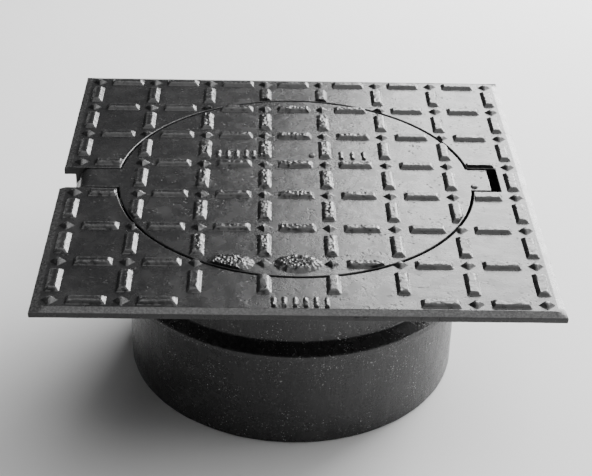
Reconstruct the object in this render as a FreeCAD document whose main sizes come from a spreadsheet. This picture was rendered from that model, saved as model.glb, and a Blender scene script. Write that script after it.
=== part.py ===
import FreeCAD, Part
import os
import re

import Sketcher

# Hinged access cover in ductile iron for a carriageway or footway: a round treaded lid in a square
# treaded frame, whose round skirt goes down into the chamber. All sizes are millimetres and degrees.
# Axes: +Z is up, the hinge is on the -X side and the lifting slot on the +X side. The origin is at
# the centre of the skirt's foot, so a level below is a height above the foot.

SIZES = {
    # square plate of the frame
    "frame_side": 400,
    "top_level": 170,
    "plate_thickness": 7,
    "bevel_run": 6,
    "bevel_drop": 2,
    # drum that holds the lid, the seat in it and the skirt below it
    "opening_radius": 152.4,
    "overlap": 1,
    "drum_radius": 158,
    "seat_level": 147,
    "ledge_bottom": 140,
    "skirt_radius": 145,
    "bore_radius": 140,
    "foot_edge": 1,
    # ring cast round the skirt, which holds it in the concrete
    "anchor_radius": 156,
    "anchor_low": 88,
    "anchor_high": 104,
    "anchor_slope": 7,
    "anchor_edge": 3,
    # gussets between the drum and the plate
    "gusset_reach": 215,
    "gusset_thickness": 7,
    "gusset_drop": 20,
    "gusset_tip": 2,
    "wall_root": 3,
    # tread: bars midway between diamonds on a square grid
    "pitch": 53.1,
    "tread_height": 3,
    "bar_length": 30,
    "bar_width": 10,
    "short_bar_end": 154,
    "diamond_reach": 6,
    "tread_draft": 38,
    # lid
    "lid_radius": 150.4,
    "lid_thickness": 9,
    "lip_height": 2.5,
    "rim_outer": 146.5,
    "rim_inner": 134,
    "rim_level": 150,
    "rim_shoulder": 158,
    "rib_thickness": 8,
    "hub_radius": 22,
    "rib_root": 2,
    "arm_root": 4,
    "trim_ring": 30,
    # hinge
    "hinge_offset": 180,
    "hinge_level": 152,
    "notch_width": 34,
    "notch_depth": 13.5,
    "tongue_width": 31,
    "tongue_low": 158,
    "tongue_flat": 175.5,
    "shoulder_radius": 11,
    "knuckle_radius": 10,
    "heel_reach": 18,
    "heel_radius": 4.7,
    "heel_angle": 124.2,
    "cheek_thickness": 8,
    "cheek_end": 190.5,
    "cheek_low": 142,
    "cheek_chamfer": 4,
    "pin_diameter": 10,
    "running_gap": 0.08,
    "pin_end": 33.5,
    "pin_chamfer": 1,
    "washer_diameter": 17.6,
    "washer_bore": 10.5,
    "washer_thickness": 1.6,
    "washer_play": 0.2,
    "cotter_offset": 29.5,
    "cotter_diameter": 2.5,
    "cotter_hole": 2.8,
    "cotter_eye": 2.6,
    "cotter_leg": 6,
    "cotter_proud": 1,
    "cotter_wire": 1,
    # lifting tab of the lid and the pocket for it
    "tab_end": 167,
    "tab_low_y": 14,
    "tab_high_y": 22,
    "tab_low": 160,
    "slot_end": 175,
    "slot_low_y": 16,
    "slot_high_y": 24.5,
    "pocket_floor": 148,
    "pocket_wall": 5,
    "pocket_root": 148,
    "mouth_overlap": 6,
    # elastomer ring in a groove of the seat
    "gasket_inner": 141,
    "gasket_outer": 145.5,
    "gasket_bottom": 145,
    "gasket_top": 149.7,
}

doc = FreeCAD.newDocument("access_cover")
sheet = doc.addObject("Spreadsheet::Sheet", "Size")
for row, (alias, value) in enumerate(SIZES.items(), start=1):
    sheet.set(f"A{row}", alias)
    sheet.set(f"B{row}", str(value))
    sheet.setAlias(f"B{row}", alias)
doc.recompute()


def formula(text):
    """Point each size named in a formula at its cell of the sheet."""
    return re.sub(r"[a-z_]+", lambda word: f"Size.{word[0]}" if word[0] in SIZES else word[0], text)


def bind(thing, field, text):
    """Bind one property of an object to a formula over the sheet."""
    thing.setExpression(field, formula(text))


def amount(text):
    """Value of a formula now, used to draw a sketch close to its solved shape."""
    value = sheet.evalExpression(formula(text).replace("Size.", ""))
    return float(getattr(value, "Value", value))


def new_body(label):
    """Add the body of one sub-part, whose label names its file."""
    body = doc.addObject("PartDesign::Body", label)
    body.Label = label
    body.Placement = FreeCAD.Placement()
    return body


def origin_feature(body, role):
    """One of the body's own planes or axes."""
    return next(item for item in body.Origin.OriginFeatures if item.Role == role)


def new_sketch(body, name, role, lift=None, turn=0):
    """Add a sketch on a plane of the body, moved along its normal or turned about Z."""
    sketch = body.newObject("Sketcher::SketchObject", name)
    sketch.AttachmentSupport = (origin_feature(body, role), [""])
    sketch.MapMode = "FlatFace"
    sketch.AttachmentOffset = FreeCAD.Placement(
        FreeCAD.Vector(), FreeCAD.Rotation(FreeCAD.Vector(0, 1, 0), turn))
    if lift:
        bind(sketch, "AttachmentOffset.Base.z", lift)
    return sketch


def constrain(sketch, rules):
    """Add constraints (kind, geometry and vertex, formula) and bind each to its formula."""
    made = [Sketcher.Constraint(kind, *where, amount(text)) for kind, where, text in rules]
    first = sketch.ConstraintCount
    sketch.addConstraint(made)
    for index, (_, _, text) in enumerate(rules, start=first):
        bind(sketch, f"Constraints[{index}]", text)


def draw_loop(sketch, corners):
    """Draw a closed loop of straight edges, whose corners are pairs of formulas."""
    places = [FreeCAD.Vector(amount(x), amount(y), 0) for x, y in corners]
    count = len(corners)
    sketch.addGeometry([Part.LineSegment(places[i], places[(i + 1) % count]) for i in range(count)])
    joins = [Sketcher.Constraint("Coincident", i, 2, (i + 1) % count, 1) for i in range(count)]
    sketch.addConstraint(joins)
    rules = []
    for i, (x, y) in enumerate(corners):
        rules.append(("DistanceX", (-1, 1, i, 1), x))
        rules.append(("DistanceY", (-1, 1, i, 1), y))
    constrain(sketch, rules)


def draw_circle(sketch, x, y, radius):
    """Draw a circle whose centre and radius are formulas."""
    centre = FreeCAD.Vector(amount(x), amount(y), 0)
    index = sketch.addGeometry(Part.Circle(centre, FreeCAD.Vector(0, 0, 1), amount(radius)))
    constrain(sketch, [
        ("DistanceX", (-1, 1, index, 3), x),
        ("DistanceY", (-1, 1, index, 3), y),
        ("Radius", (index,), radius),
    ])


def add_pad(body, sketch, length, symmetric=False, down=False, draft=None):
    """Pad a sketch along its normal, against it, or half each way."""
    pad = body.newObject("PartDesign::Pad", sketch.Name + "_pad")
    pad.Profile = sketch
    pad.SideType = "Symmetric" if symmetric else "One side"
    pad.Reversed = down
    bind(pad, "Length", length)
    if draft:
        bind(pad, "TaperAngle", draft)
    return pad


def add_pocket(body, sketch, length, symmetric=False, up=False):
    """Cut a sketch into the body against its normal, along it, or half each way."""
    doc.recompute()
    before = body.Shape.Volume
    pocket = body.newObject("PartDesign::Pocket", sketch.Name + "_cut")
    pocket.Profile = sketch
    pocket.SideType = "Symmetric" if symmetric else "One side"
    pocket.Reversed = up
    bind(pocket, "Length", length)
    doc.recompute()
    if body.Shape.Volume > before - 1:
        raise RuntimeError(f"{pocket.Name} removes nothing")
    return pocket


def add_revolution(body, sketch, cut=False):
    """Turn a sketch of the XZ plane once about Z, as material or as a groove."""
    kind = "PartDesign::Groove" if cut else "PartDesign::Revolution"
    turned = body.newObject(kind, sketch.Name + "_turned")
    turned.Profile = sketch
    turned.ReferenceAxis = (sketch, ["V_Axis"])
    turned.Angle = 360
    return turned


def rectangle(x_low, x_high, y_low, y_high):
    """Corners of an upright rectangle, from formulas of its sides."""
    return [(x_low, y_low), (x_high, y_low), (x_high, y_high), (x_low, y_high)]


# ---------------------------------------------------------------- tread

# Blocks of the square grid that carry tread. Places and steps count grid pitches from the centre:
# kind, first place, then one or two directions as axis, number of pieces and step between them.
FRAME_TREAD = [
    ("bar_x", (-3, 3.5), ("X", 7, 1)),
    ("bar_x", (-3, 2.5), ("X", 2, 1), ("X", 2, 5)),
    ("bar_x", (-3, -2.5), ("X", 2, 1), ("X", 2, 5)),
    ("bar_x", (-3, -3.5), ("X", 2, 1), ("X", 2, 5)),
    ("bar_x", (-3, -1.5), ("X", 2, 6), ("Y", 2, 3)),
    ("bar_x", (3, -0.5), ("Y", 2, 1)),
    ("short_bar", (-3, -0.5), ("Y", 2, 1)),
    ("bar_y", (-3.5, -3), ("Y", 3, 1), ("Y", 2, 4)),
    ("bar_y", (3.5, -3), ("Y", 7, 1)),
    ("bar_y", (-2.5, -3), ("X", 2, 5), ("Y", 2, 6)),
    ("bar_y", (-2.5, -2), ("X", 2, 5), ("Y", 2, 4)),
    ("bar_y", (-1.5, -3), ("X", 4, 1), ("Y", 2, 6)),
    ("diamond", (-3.5, 3.5), ("X", 8, 1)),
    ("diamond", (-3.5, -3.5), ("X", 2, 1), ("X", 2, 6)),
    ("diamond", (-3.5, -2.5), ("X", 2, 7), ("Y", 6, 1)),
    ("diamond", (-2.5, -2.5), ("X", 2, 5), ("Y", 2, 5)),
    ("diamond", (-2.5, -1.5), ("X", 2, 5), ("Y", 2, 3)),
    ("diamond", (-1.5, -2.5), ("X", 2, 3), ("Y", 2, 5)),
]
LID_TREAD = [
    ("bar_x", (-2, -1.5), ("X", 5, 1), ("Y", 4, 1)),
    ("bar_x", (-1, -2.5), ("X", 3, 1), ("Y", 2, 5)),
    ("bar_y", (-1.5, -2), ("X", 4, 1), ("Y", 5, 1)),
    ("bar_y", (-2.5, -1), ("X", 2, 5), ("Y", 3, 1)),
    ("diamond", (-1.5, -1.5), ("X", 4, 1), ("Y", 4, 1)),
    ("diamond", (-0.5, -2.5), ("X", 2, 1), ("Y", 2, 5)),
    ("diamond", (-2.5, -0.5), ("X", 2, 5), ("Y", 2, 1)),
]


def tread_outline(kind, column, row):
    """Outline of one tread piece at a grid place. A short bar leaves room for the lid to swing up."""
    x, y = f"{column}*pitch", f"{row}*pitch"
    if kind == "diamond":
        reach = "diamond_reach"
        return [(f"{x}-{reach}", y), (x, f"{y}-{reach}"), (f"{x}+{reach}", y), (x, f"{y}+{reach}")]
    half_x, half_y = "bar_length/2", "bar_width/2"
    if kind == "bar_y":
        half_x, half_y = half_y, half_x
    if kind == "short_bar":
        return rectangle(f"{x}-{half_x}", "-short_bar_end", f"{y}-{half_y}", f"{y}+{half_y}")
    return rectangle(f"{x}-{half_x}", f"{x}+{half_x}", f"{y}-{half_y}", f"{y}+{half_y}")


def add_tread(body, blocks):
    """Raise the first drafted piece of each block from the top of a casting and repeat it."""
    for number, (kind, (column, row), *directions) in enumerate(blocks, start=1):
        sketch = new_sketch(body, f"{body.Label}_{kind}_{number}", "XY_Plane", "top_level")
        draw_loop(sketch, tread_outline(kind, column, row))
        piece = add_pad(body, sketch, "tread_height", draft="-tread_draft")
        doc.recompute()
        pattern = body.newObject("PartDesign::LinearPattern", f"{sketch.Name}_block")
        pattern.Originals = [piece]
        for suffix, (axis, count, step) in zip(("", "2"), directions):
            setattr(pattern, f"Direction{suffix}", (origin_feature(body, f"{axis}_Axis"), [""]))
            setattr(pattern, f"Occurrences{suffix}", count)
            bind(pattern, f"Length{suffix}", f"{(count - 1) * step}*pitch")
        body.Tip = pattern
        doc.recompute()


# ---------------------------------------------------------------- frame

def make_frame():
    """Frame casting: treaded plate, drum with the seat, skirt, anchor ring, gussets and hinge cheeks."""
    body = new_body("frame")
    half = "frame_side/2"

    plate = new_sketch(body, "plate", "XY_Plane", "top_level-plate_thickness")
    draw_loop(plate, rectangle(f"-{half}", half, f"-{half}", half))
    add_pad(body, plate, "plate_thickness-bevel_drop")

    border = new_sketch(body, "border", "XY_Plane", "top_level-bevel_drop")
    draw_loop(border, rectangle(f"-{half}", half, f"-{half}", half))
    raised = add_pad(body, border, "bevel_drop")
    bind(raised, "TaperAngle", "-atan(bevel_run/bevel_drop)")

    # Pocket under the lifting tab, solid at first. It and the drum hang from the plate.
    block = new_sketch(body, "pocket_block", "XY_Plane", "top_level-plate_thickness")
    draw_loop(block, rectangle(
        "pocket_root", "slot_end+pocket_wall", "-slot_low_y-pocket_wall", "slot_high_y+pocket_wall"))
    add_pad(body, block, "top_level-plate_thickness-pocket_floor+pocket_wall", down=True)

    opening = new_sketch(body, "opening", "XY_Plane", "top_level")
    draw_circle(opening, "0", "0", "opening_radius")
    add_pocket(body, opening, "top_level-pocket_floor+pocket_wall")

    section = new_sketch(body, "drum_and_skirt", "XZ_Plane")
    draw_loop(section, [
        ("bore_radius", "foot_edge"),
        ("bore_radius+foot_edge", "0"),
        ("skirt_radius-foot_edge", "0"),
        ("skirt_radius", "foot_edge"),
        ("skirt_radius", "anchor_low"),
        ("anchor_radius", "anchor_low+anchor_edge"),
        ("anchor_radius", "anchor_high-anchor_slope"),
        ("skirt_radius", "anchor_high"),
        ("skirt_radius", "ledge_bottom"),
        ("drum_radius", "ledge_bottom"),
        ("drum_radius", "top_level-plate_thickness+overlap"),
        ("opening_radius", "top_level-plate_thickness+overlap"),
        ("opening_radius", "seat_level"),
        ("gasket_outer", "seat_level"),
        ("gasket_outer", "gasket_bottom"),
        ("gasket_inner", "gasket_bottom"),
        ("gasket_inner", "seat_level"),
        ("bore_radius", "seat_level"),
    ])
    add_revolution(body, section)

    # Gussets: two in each quarter, triangles from the drum to the plate.
    for turn in (30, 60):
        gusset = new_sketch(body, f"gusset_{turn}", "XZ_Plane", turn=turn)
        draw_loop(gusset, [
            ("drum_radius-wall_root", "top_level-plate_thickness+overlap"),
            ("gusset_reach", "top_level-plate_thickness+overlap"),
            ("gusset_reach", "top_level-plate_thickness-gusset_tip"),
            ("drum_radius-wall_root", "top_level-plate_thickness-gusset_drop"),
        ])
        first = add_pad(body, gusset, "gusset_thickness", symmetric=True)
        doc.recompute()
        ring = body.newObject("PartDesign::PolarPattern", f"gussets_{turn}")
        ring.Originals = [first]
        ring.Axis = (origin_feature(body, "Z_Axis"), [""])
        ring.Angle = 360
        ring.Occurrences = 4
        body.Tip = ring

    # Hinge cheeks: one each side of the notch, under the plate.
    cheeks = new_sketch(body, "cheeks", "XZ_Plane")
    draw_loop(cheeks, [
        ("-drum_radius+wall_root", "top_level-plate_thickness+overlap"),
        ("-cheek_end", "top_level-plate_thickness+overlap"),
        ("-cheek_end", "cheek_low+cheek_chamfer"),
        ("-cheek_end+cheek_chamfer", "cheek_low"),
        ("-drum_radius+wall_root", "cheek_low"),
    ])
    add_pad(body, cheeks, "notch_width+2*cheek_thickness", symmetric=True)

    notch = new_sketch(body, "hinge_notch", "XY_Plane", "top_level")
    draw_loop(notch, rectangle(
        "-frame_side/2-overlap", "-opening_radius+mouth_overlap", "-notch_width/2", "notch_width/2"))
    add_pocket(body, notch, "notch_depth")

    between = new_sketch(body, "between_cheeks", "XY_Plane", "top_level")
    draw_loop(between, rectangle(
        "-frame_side/2-overlap", "-drum_radius", "-notch_width/2", "notch_width/2"))
    add_pocket(body, between, "top_level-cheek_low+overlap")

    slot_outline = rectangle("opening_radius-mouth_overlap", "slot_end", "-slot_low_y", "slot_high_y")
    slot = new_sketch(body, "lifting_slot", "XY_Plane", "top_level")
    draw_loop(slot, slot_outline)
    add_pocket(body, slot, "top_level-pocket_floor")

    bores = new_sketch(body, "cheek_bores", "XZ_Plane")
    draw_circle(bores, "-hinge_offset", "hinge_level", "pin_diameter/2+running_gap")
    add_pocket(body, bores, "notch_width+2*cheek_thickness+2*overlap", symmetric=True)

    # The tread comes last, and the openings cut through the pieces that reach over them.
    add_tread(body, FRAME_TREAD)
    rim = new_sketch(body, "opening_trim", "XY_Plane", "top_level")
    draw_circle(rim, "0", "0", "opening_radius")
    add_pocket(body, rim, "tread_height+overlap", up=True)
    edge = new_sketch(body, "slot_trim", "XY_Plane", "top_level")
    draw_loop(edge, slot_outline)
    add_pocket(body, edge, "tread_height+overlap", up=True)
    return body


# ---------------------------------------------------------------- lid

def make_lid():
    """Lid casting: treaded disc, rim, hub and ribs, with the hinge tongue and the lifting tab."""
    body = new_body("lid")

    section = new_sketch(body, "disc_and_rim", "XZ_Plane")
    draw_loop(section, [
        ("0", "top_level"),
        ("0", "rim_level"),
        ("hub_radius", "rim_level"),
        ("hub_radius", "top_level-lid_thickness"),
        ("rim_inner", "top_level-lid_thickness"),
        ("rim_inner", "rim_level"),
        ("rim_outer", "rim_level"),
        ("rim_outer", "rim_shoulder"),
        ("lid_radius", "top_level-lip_height"),
        ("lid_radius", "top_level"),
    ])
    add_revolution(body, section)

    rib = new_sketch(body, "rib", "XY_Plane", "rim_level")
    draw_loop(rib, rectangle(
        "-rim_inner-rib_root", "rim_inner+rib_root", "-rib_thickness/2", "rib_thickness/2"))
    first = add_pad(body, rib, "top_level-lid_thickness-rim_level+overlap")
    doc.recompute()
    ribs = body.newObject("PartDesign::PolarPattern", "ribs")
    ribs.Originals = [first]
    ribs.Axis = (origin_feature(body, "Z_Axis"), [""])
    ribs.Mode = "Spacing"
    ribs.Offset = 45
    ribs.Occurrences = 4
    body.Tip = ribs

    # Tongue: a slab that ends in a rounded shoulder and the knuckle round the pin, with a heel that
    # meets the drum when the lid is fully open.
    tongue = new_sketch(body, "tongue", "XZ_Plane")
    draw_loop(tongue, rectangle("-tongue_flat", "-rim_inner-arm_root", "tongue_low", "top_level"))
    add_pad(body, tongue, "tongue_width", symmetric=True)
    end_x = "-hinge_offset+heel_reach*cos(heel_angle)"
    end_z = "hinge_level-heel_reach*sin(heel_angle)"
    for name, x, z, radius in (
        ("shoulder", "-tongue_flat", "top_level-shoulder_radius", "shoulder_radius"),
        ("knuckle", "-hinge_offset", "hinge_level", "knuckle_radius"),
        ("heel", end_x, end_z, "heel_radius"),
    ):
        disc = new_sketch(body, name, "XZ_Plane")
        draw_circle(disc, x, z, radius)
        add_pad(body, disc, "tongue_width", symmetric=True)

    neck = new_sketch(body, "heel_neck", "XZ_Plane")
    across_x, across_z = "heel_radius*sin(heel_angle)", "heel_radius*cos(heel_angle)"
    draw_loop(neck, [
        (f"-hinge_offset+{across_x}", f"hinge_level+{across_z}"),
        (f"-hinge_offset-{across_x}", f"hinge_level-{across_z}"),
        (f"{end_x}-{across_x}", f"{end_z}-{across_z}"),
        (f"{end_x}+{across_x}", f"{end_z}+{across_z}"),
    ])
    add_pad(body, neck, "tongue_width", symmetric=True)

    bore = new_sketch(body, "knuckle_bore", "XZ_Plane")
    draw_circle(bore, "-hinge_offset", "hinge_level", "pin_diameter/2+running_gap")
    add_pocket(body, bore, "tongue_width+2*overlap", symmetric=True)

    tab = new_sketch(body, "lifting_tab", "XY_Plane", "tab_low")
    draw_loop(tab, rectangle("rim_inner+arm_root", "tab_end", "-tab_low_y", "tab_high_y"))
    add_pad(body, tab, "top_level-tab_low")

    add_tread(body, LID_TREAD)
    trim = new_sketch(body, "edge_trim", "XY_Plane", "top_level")
    draw_circle(trim, "0", "0", "lid_radius")
    draw_circle(trim, "0", "0", "lid_radius+trim_ring")
    add_pocket(body, trim, "tread_height+overlap", up=True)
    return body


# ---------------------------------------------------------------- seat ring and hinge hardware

def make_gasket():
    """Elastomer ring that stands in the seat's groove and stops the lid rattling."""
    body = new_body("seat_gasket")
    section = new_sketch(body, "gasket_section", "XZ_Plane")
    draw_loop(section, rectangle("gasket_inner", "gasket_outer", "gasket_bottom", "gasket_top"))
    add_revolution(body, section)
    return body


def make_pin():
    """Plain hinge pin through both cheeks and the knuckle, cross-drilled at each end."""
    body = new_body("hinge_pin")
    section = new_sketch(body, "pin_section", "XZ_Plane")
    draw_circle(section, "-hinge_offset", "hinge_level", "pin_diameter/2")
    add_pad(body, section, "2*pin_end", symmetric=True)
    holes = new_sketch(body, "cotter_holes", "YZ_Plane", "-hinge_offset")
    for side in ("", "-"):
        draw_circle(holes, f"{side}cotter_offset", "hinge_level", "cotter_hole/2")
    add_pocket(body, holes, "pin_diameter+2*overlap", symmetric=True)
    return body


def make_washer(label, side):
    """Flat washer between a cheek and a split pin; side is 1 at the back and -1 at the front."""
    body = new_body(label)
    inner = f"{side}*(notch_width/2+cheek_thickness+washer_play/2)"
    ring = new_sketch(body, f"{label}_ring", "XZ_Plane", f"-({inner})")
    draw_circle(ring, "-hinge_offset", "hinge_level", "washer_diameter/2")
    draw_circle(ring, "-hinge_offset", "hinge_level", "washer_bore/2")
    add_pad(body, ring, "washer_thickness", down=side > 0)
    return body


def make_split_pin(label, side):
    """Split pin across the hinge pin's end: an eye outside, a round shank, and two legs bent apart."""
    reach = "pin_diameter/2+cotter_proud"
    place_y = f"{side}*cotter_offset"

    shank = doc.addObject("Part::Cylinder", f"{label}_shank")
    shank.Placement.Rotation = FreeCAD.Rotation(FreeCAD.Vector(0, 1, 0), 90)
    bind(shank, "Radius", "cotter_diameter/2")
    bind(shank, "Height", f"2*({reach})")
    bind(shank, "Placement.Base.x", f"-hinge_offset-({reach})")

    eye = doc.addObject("Part::Torus", f"{label}_eye")
    eye.Placement.Rotation = FreeCAD.Rotation(FreeCAD.Vector(1, 0, 0), 90)
    bind(eye, "Radius1", "cotter_eye")
    bind(eye, "Radius2", "cotter_wire")
    bind(eye, "Placement.Base.x", f"-hinge_offset-({reach})-cotter_eye")

    pieces = [shank, eye]
    for way, tilt in (("upper", 50), ("lower", 130)):
        leg = doc.addObject("Part::Cylinder", f"{label}_{way}_leg")
        leg.Placement.Rotation = FreeCAD.Rotation(FreeCAD.Vector(0, 1, 0), tilt)
        bind(leg, "Radius", "cotter_wire")
        bind(leg, "Height", "cotter_leg")
        bind(leg, "Placement.Base.x", f"-hinge_offset+({reach})-cotter_wire")
        pieces.append(leg)
    for piece in pieces:
        bind(piece, "Placement.Base.y", place_y)
        bind(piece, "Placement.Base.z", "hinge_level")

    whole = doc.addObject("Part::MultiFuse", label)
    whole.Label = label
    whole.Shapes = pieces
    return whole


subparts = [make_frame(), make_lid(), make_gasket(), make_pin()]
for name, side in (("front", -1), ("back", 1)):
    subparts.append(make_washer(f"hinge_washer_{name}", side))
    subparts.append(make_split_pin(f"split_pin_{name}", side))
doc.recompute()

for item in doc.Objects:
    if {"Invalid", "Error"} & set(item.State):
        raise RuntimeError(f"{item.Name}: {item.State}")

os.makedirs("parts", exist_ok=True)
for subpart in subparts:
    shape = subpart.Shape
    if shape.isNull() or not shape.isValid():
        raise RuntimeError(f"{subpart.Label} has no valid shape")
    print(f"{subpart.Label}: {len(shape.Solids)} solid, {shape.Volume / 1000:.1f} cm3, {shape.BoundBox}")
    shape.exportStep(f"parts/{subpart.Label}.step")
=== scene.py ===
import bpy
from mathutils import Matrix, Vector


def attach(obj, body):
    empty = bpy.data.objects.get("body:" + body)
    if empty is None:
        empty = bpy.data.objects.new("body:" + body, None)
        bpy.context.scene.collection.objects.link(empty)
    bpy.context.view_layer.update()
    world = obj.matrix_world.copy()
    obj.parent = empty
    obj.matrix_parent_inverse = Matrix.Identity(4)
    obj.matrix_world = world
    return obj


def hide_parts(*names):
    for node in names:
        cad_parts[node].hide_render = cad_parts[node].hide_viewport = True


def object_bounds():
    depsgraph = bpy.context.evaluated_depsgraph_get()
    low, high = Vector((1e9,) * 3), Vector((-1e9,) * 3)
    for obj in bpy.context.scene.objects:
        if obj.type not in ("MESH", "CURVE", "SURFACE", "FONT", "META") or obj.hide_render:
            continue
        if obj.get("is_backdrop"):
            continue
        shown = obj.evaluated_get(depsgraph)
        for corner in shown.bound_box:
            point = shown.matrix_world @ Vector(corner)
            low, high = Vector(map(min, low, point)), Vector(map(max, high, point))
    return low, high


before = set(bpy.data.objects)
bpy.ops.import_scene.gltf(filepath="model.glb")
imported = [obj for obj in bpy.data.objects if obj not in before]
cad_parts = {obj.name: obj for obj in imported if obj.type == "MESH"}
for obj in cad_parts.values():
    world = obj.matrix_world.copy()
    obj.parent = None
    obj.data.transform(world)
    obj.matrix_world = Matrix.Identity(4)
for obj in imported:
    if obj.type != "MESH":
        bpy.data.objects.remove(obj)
"""Looks of a hinged iron access cover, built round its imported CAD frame.

The two castings are remodelled with rounded edges and a worn, sand-cast tread. The seat ring, the
hinge pin, its washers and its split pins keep their CAD shape and get a finish. Lengths in the
casting classes are millimetres, heights are above the skirt's foot, and meshes are stored in metres.
"""
import logging
import math
from collections.abc import Callable, Sequence
from dataclasses import dataclass, field
from enum import Enum

import bpy
from mathutils import Vector, noise
from mathutils.geometry import tessellate_polygon

CAD_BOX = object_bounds()
MM = 0.001
LOG = logging.getLogger("access_cover")

Pair = tuple[float, float]
Triple = tuple[float, float, float]


# ------------------------------------------------------------------ mesh building

@dataclass
class Shell:
    """Vertices, faces and wear of a casting, gathered in millimetres for one mesh."""

    points: list[Triple] = field(default_factory=list)
    faces: list[tuple[int, ...]] = field(default_factory=list)
    wear: list[float] = field(default_factory=list)

    def add(self, points: Sequence[Triple], faces: Sequence[Sequence[int]], wear: Sequence[float]) -> None:
        """Add a closed solid.

        Args:
            points: its vertices in millimetres.
            faces: its faces as indices into points.
            wear: how rubbed each vertex is, from 0 to 1.
        """
        first = len(self.points)
        self.points.extend(points)
        self.faces.extend(tuple(first + i for i in face) for face in faces)
        self.wear.extend(wear)

    def to_object(self, name: str, sharp_degrees: float = 32.0) -> bpy.types.Object:
        """Make one smooth-shaded mesh object of everything gathered.

        Args:
            name: name of the object.
            sharp_degrees: edges that turn more than this stay crisp.

        Returns:
            The object, linked to the scene, in metres.
        """
        mesh = bpy.data.meshes.new(name)
        mesh.from_pydata([tuple(MM * c for c in p) for p in self.points], [], self.faces)
        mesh.validate()
        mesh.polygons.foreach_set("use_smooth", [True] * len(mesh.polygons))
        mesh.set_sharp_from_angle(angle=math.radians(sharp_degrees))
        rubbed = mesh.attributes.new("wear", "FLOAT", "POINT")
        rubbed.data.foreach_set("value", self.wear)
        obj = bpy.data.objects.new(name, mesh)
        bpy.context.scene.collection.objects.link(obj)
        return obj


@dataclass(frozen=True)
class EdgeForm:
    """Steps from a slab's top face down to its bottom face along one edge: (inset, depth) pairs."""

    steps: tuple[Pair, ...]


def rounded_form(height: float, top: float, bottom: float) -> EdgeForm:
    """Edge form of a plain slab with a rounded top and bottom edge.

    Args:
        height: thickness of the slab.
        top: radius of the top edge.
        bottom: radius of the bottom edge.

    Returns:
        The form, always with eight steps, so that forms can meet at a corner.
    """
    turns = (0.0, 30.0, 60.0, 90.0)
    upper = [(top * (1 - math.sin(math.radians(t))), top * (1 - math.cos(math.radians(t)))) for t in turns]
    lower = [
        (bottom * (1 - math.sin(math.radians(t))), height - bottom * (1 - math.cos(math.radians(t))))
        for t in turns
    ]
    return EdgeForm(tuple(upper + lower[::-1]))


def inset_corner(before: Pair, corner: Pair, after: Pair, first: float, second: float) -> Pair:
    """Corner of an outline after its two edges move inwards.

    Args:
        before: the corner before this one, anticlockwise.
        corner: this corner.
        after: the next corner.
        first: how far the edge that arrives here moves.
        second: how far the edge that leaves here moves.

    Returns:
        Where the two moved edges meet.
    """
    ax, ay = corner[0] - before[0], corner[1] - before[1]
    bx, by = after[0] - corner[0], after[1] - corner[1]
    long_a, long_b = math.hypot(ax, ay), math.hypot(bx, by)
    nax, nay, nbx, nby = -ay / long_a, ax / long_a, -by / long_b, bx / long_b
    cross = nax * nby - nay * nbx
    if abs(cross) < 0.12:
        mean = (first + second) / 2
        sx, sy = nax + nbx, nay + nby
        scale = mean / math.hypot(sx, sy)
        return corner[0] + sx * scale, corner[1] + sy * scale
    vx = (first * nby - second * nay) / cross
    vy = (second * nax - first * nbx) / cross
    return corner[0] + vx, corner[1] + vy


def add_slab(
    shell: Shell,
    outline: Sequence[Pair],
    forms: EdgeForm | Sequence[EdgeForm],
    place: Callable[[float, float, float], Triple],
    hole: Sequence[Pair] = (),
) -> None:
    """Add a flat plate of any outline whose edges follow edge forms.

    Args:
        shell: casting that the plate joins.
        outline: corners, anticlockwise seen from the top face.
        forms: one form for every edge, or one per edge, starting at each corner.
        place: turns (x, y, depth below the top face) into a point of the casting.
        hole: outline of one straight hole through the plate, anticlockwise.
    """
    count = len(outline)
    each = [forms] * count if isinstance(forms, EdgeForm) else list(forms)
    rings = len(each[0].steps)
    points, wear, faces = [], [], []
    for k in range(rings):
        for i, corner in enumerate(outline):
            came, leaves = each[i - 1].steps[k], each[i].steps[k]
            x, y = inset_corner(outline[i - 1], corner, outline[(i + 1) % count], came[0], leaves[0])
            points.append(place(x, y, max(came[1], leaves[1])))
            wear.append(0.8 if k in (1, 2) else 0.1)
    for k in range(rings - 1):
        for i in range(count):
            j = (i + 1) % count
            faces.append((k * count + i, (k + 1) * count + i, (k + 1) * count + j, k * count + j))
    hole_size = len(hole)
    depth = each[0].steps[-1][1]
    first_hole = len(points)
    for level in (0.0, depth) if hole_size else ():
        points.extend(place(x, y, level) for x, y in hole)
        wear.extend([0.3] * hole_size)
    for i in range(hole_size):
        j = (i + 1) % hole_size
        a, b = first_hole + i, first_hole + j
        faces.append((b, b + hole_size, a + hole_size, a))
    for k, first_inner, flip in ((0, first_hole, False), (rings - 1, first_hole + hole_size, True)):
        ids = list(range(k * count, (k + 1) * count))
        ring = []
        for i in range(count):
            before, here, after = outline[i - 1], outline[i], outline[(i + 1) % count]
            insets = each[i - 1].steps[k][0], each[i].steps[k][0]
            ring.append(Vector((*inset_corner(before, here, after, *insets), 0)))
        flat = [ring]
        if hole_size:
            ids += list(range(first_inner, first_inner + hole_size))
            flat.append([Vector((x, y, 0)) for x, y in hole])
        joined = [v for loop in flat for v in loop]
        for a, b, c in tessellate_polygon(flat):
            up = (joined[b] - joined[a]).cross(joined[c] - joined[a]).z > 0
            tri = (ids[a], ids[b], ids[c]) if up != flip else (ids[c], ids[b], ids[a])
            faces.append(tri)
    shell.add(points, faces, wear)


def level_place(top: float) -> Callable[[float, float, float], Triple]:
    """Placement of a horizontal slab whose top face is at a level."""
    return lambda x, y, depth: (x, y, top - depth)


def upright_place(back: float) -> Callable[[float, float, float], Triple]:
    """Placement of a slab that stands along X and Z, with its top face at the given Y, looking to -Y."""
    return lambda x, z, depth: (x, back + depth, z)


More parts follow.
